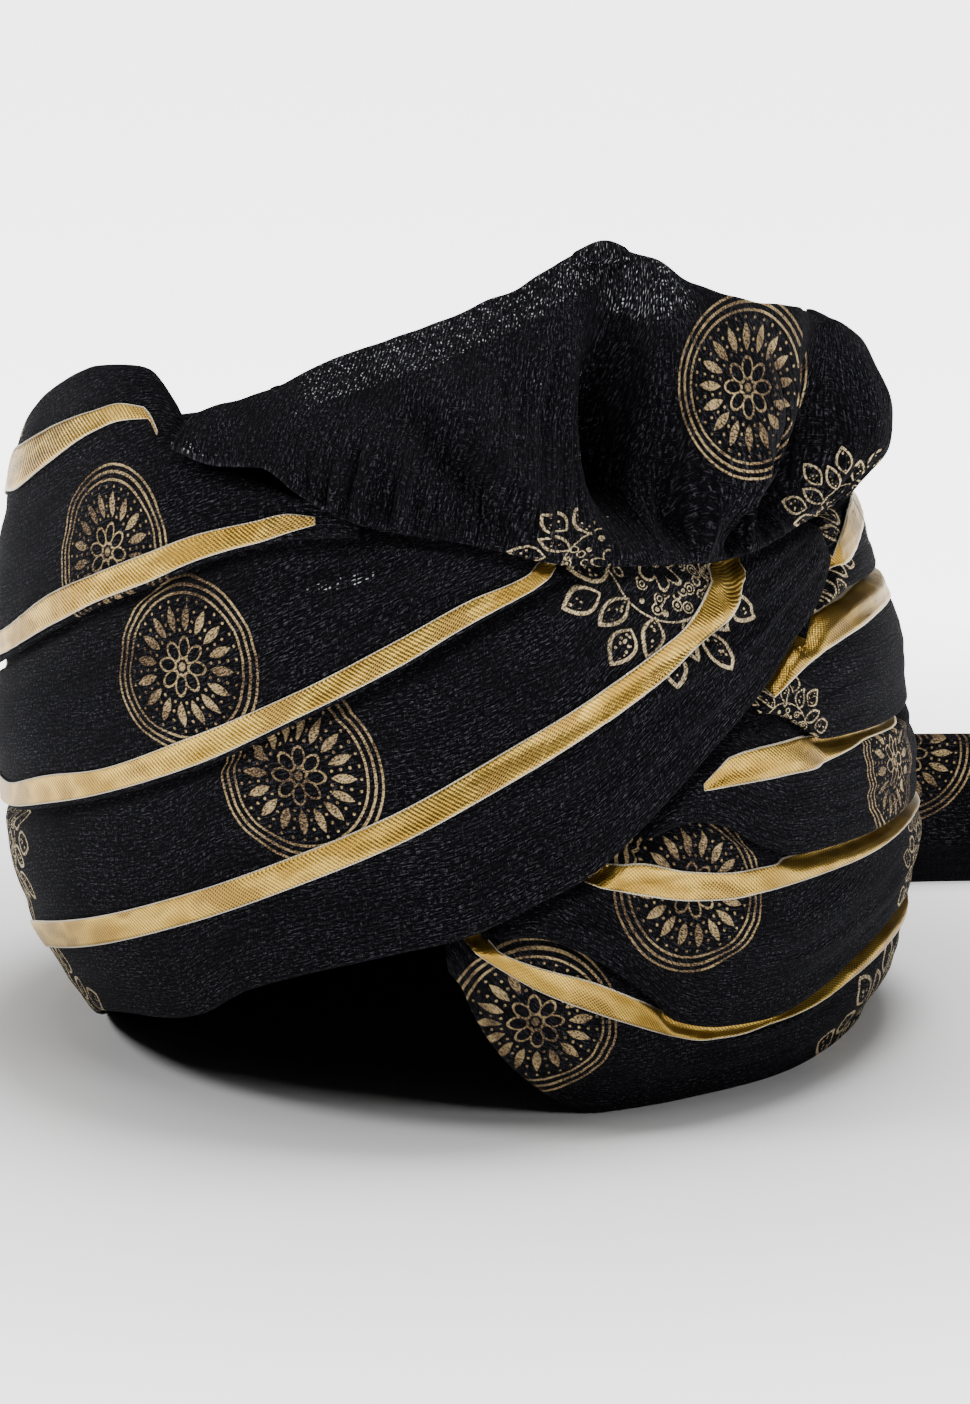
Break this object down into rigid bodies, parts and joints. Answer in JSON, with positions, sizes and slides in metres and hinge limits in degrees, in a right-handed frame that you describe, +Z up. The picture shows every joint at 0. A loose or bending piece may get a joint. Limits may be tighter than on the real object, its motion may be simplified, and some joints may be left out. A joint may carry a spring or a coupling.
{
  "type": "turban",
  "caption": "Wound turban of black printed crepe with gold ribbon stripes, gathered crown cloth and a loose tail, worn on the head.",
  "frame": {"origin": "middle of the head opening, on the plane that the turban rests on", "axes": "+Z up, the forehead faces -Y, +X towards the wearer's left"},
  "size_m": [0.3643, 0.3875, 0.227],
  "materials": {
    "black_crepe": "matt black crepe with a fine crinkled weave and gold block prints",
    "gold_ribbon": "woven metallic gold ribbon with pale selvages"
  },
  "bodies": {
    "root": {"inner_wraps": "black_crepe", "upper_wrap": "black_crepe", "middle_wrap": "black_crepe", "front_wrap": "black_crepe", "side_wrap_high": "black_crepe", "side_wrap_mid": "black_crepe", "side_wrap_low": "black_crepe", "crown_cloth": "black_crepe", "ribbon_upper": "gold_ribbon", "ribbon_upper_edge": "gold_ribbon", "ribbon_upper_end": "gold_ribbon", "ribbon_middle": "gold_ribbon", "ribbon_front": "gold_ribbon", "ribbon_high": "gold_ribbon", "ribbon_mid": "gold_ribbon", "ribbon_low": "gold_ribbon"}
  },
  "joints": []
}
